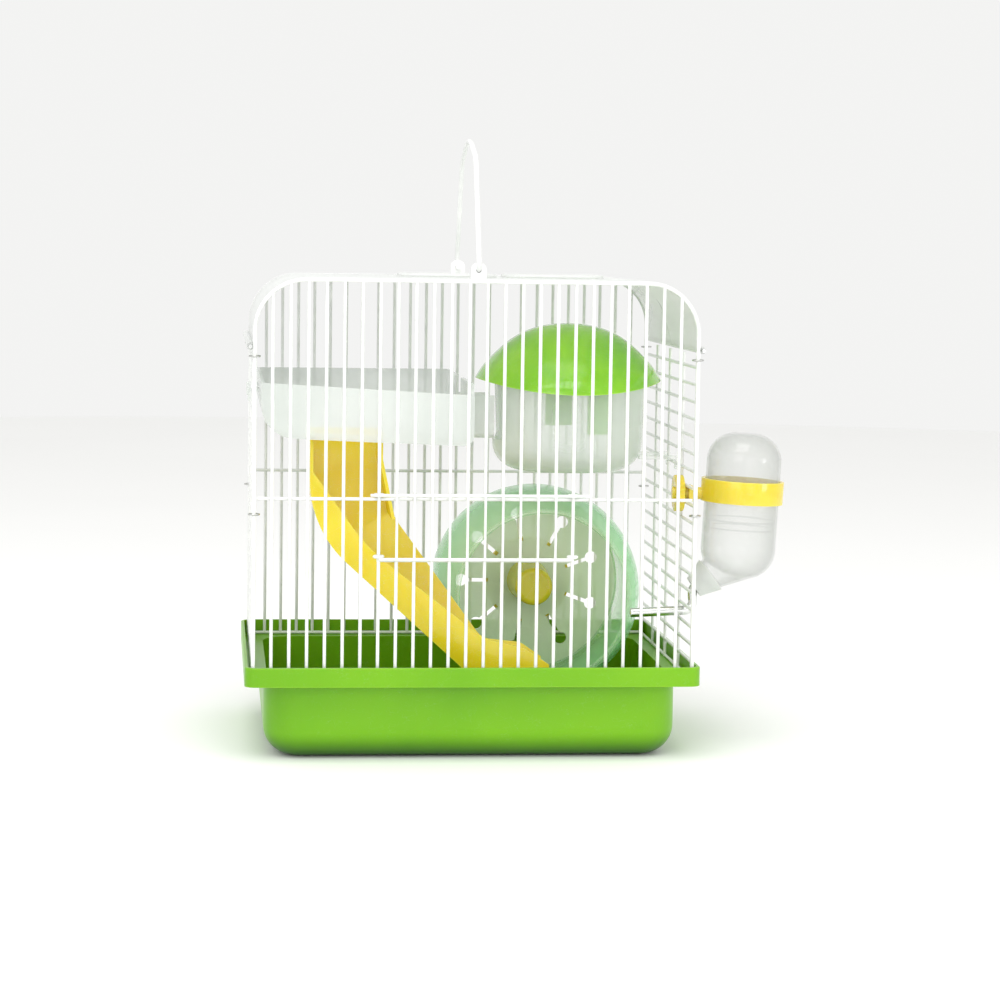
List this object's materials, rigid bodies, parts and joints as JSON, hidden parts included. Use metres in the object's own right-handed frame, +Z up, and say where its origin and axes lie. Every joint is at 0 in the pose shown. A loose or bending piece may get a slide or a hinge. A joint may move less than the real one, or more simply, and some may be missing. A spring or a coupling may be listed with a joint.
{
  "type": "hamster cage",
  "caption": "Small two-storey wire hamster cage on a moulded tray, with a shelf, slide, running wheel, hut, outside water bottle and fold-down carry handle.",
  "frame": {"origin": "centre of the tray's flat underside", "axes": "+Z up; -Y is the front with the small sliding door; the water bottle hangs on the +X side"},
  "size_m": [0.3252, 0.21, 0.3686],
  "materials": {
    "tray_green": "glossy",
    "wire_white": "glossy",
    "cover_white": "satin",
    "rod_steel": "satin",
    "ring_steel": "satin",
    "eye_white": "glossy",
    "shelf_white": "satin",
    "hut_frosted": "satin",
    "hat_green": "glossy",
    "slide_yellow": "glossy",
    "wheel_green": "glossy",
    "wheel_frosted": "satin",
    "hub_yellow": "glossy",
    "mount_yellow": "glossy",
    "bottle_clear": "glossy",
    "cap_grey": "satin",
    "spout_steel": "polished",
    "ball_steel": "polished",
    "band_yellow": "glossy"
  },
  "bodies": {
    "tray": {"base_tray": "tray_green"},
    "cage": {"front_panel": "wire_white", "back_panel": "wire_white", "left_panel": "wire_white", "right_panel": "wire_white", "roof_cover": "cover_white", "edge_rods": "rod_steel", "hog_rings": "ring_steel", "handle_eyes": "eye_white", "shelf_tub": "shelf_white", "hut_bowl": "hut_frosted", "slide_chute": "slide_yellow", "wheel_mount": "mount_yellow"},
    "handle": {"carry_handle": "wire_white"},
    "door": {"front_door": "wire_white"},
    "wheel": {"wheel_drum": "wheel_green", "wheel_disc": "wheel_frosted", "wheel_hub": "hub_yellow"},
    "hut_lid": {"hut_roof": "hat_green"},
    "bottle": {"bottle_shell": "bottle_clear", "bottle_cap": "cap_grey", "spout_tube": "spout_steel", "bottle_band": "band_yellow"},
    "ball": {"spout_ball": "ball_steel"},
    "nut": {"band_nut": "band_yellow"}
  },
  "joints": [
    {"name": "cage_lift", "type": "slide", "parent": "tray", "child": "cage", "axis": [0, 0, 1], "range_m": [0, 0.06]},
    {"name": "handle_fold", "type": "hinge", "parent": "cage", "child": "handle", "pos_m": [0.002, 0, 0.2894], "axis": [0, 1, 0], "range_deg": [-90, 90]},
    {"name": "door_slide", "type": "slide", "parent": "cage", "child": "door", "axis": [0, 0, 1], "range_m": [0, 0.03]},
    {"name": "wheel_spin", "type": "hinge", "parent": "cage", "child": "wheel", "pos_m": [0.0513, 0.04, 0.086], "axis": [0, 1, 0], "continuous": true},
    {"name": "hut_roof_lift", "type": "slide", "parent": "cage", "child": "hut_lid", "axis": [0, 0, 1], "range_m": [0, 0.022]},
    {"name": "bottle_pull", "type": "slide", "parent": "cage", "child": "bottle", "axis": [1, 0, 0], "range_m": [0, 0.05]},
    {"name": "nut_turn", "type": "hinge", "parent": "cage", "child": "nut", "pos_m": [0.1259, -0.063, 0.15665], "axis": [1, 0, 0], "continuous": true},
    {"name": "ball_press", "type": "slide", "parent": "bottle", "child": "ball", "axis": [0.9989, 0, 0.0469], "range_m": [0, 0.0012]}
  ]
}
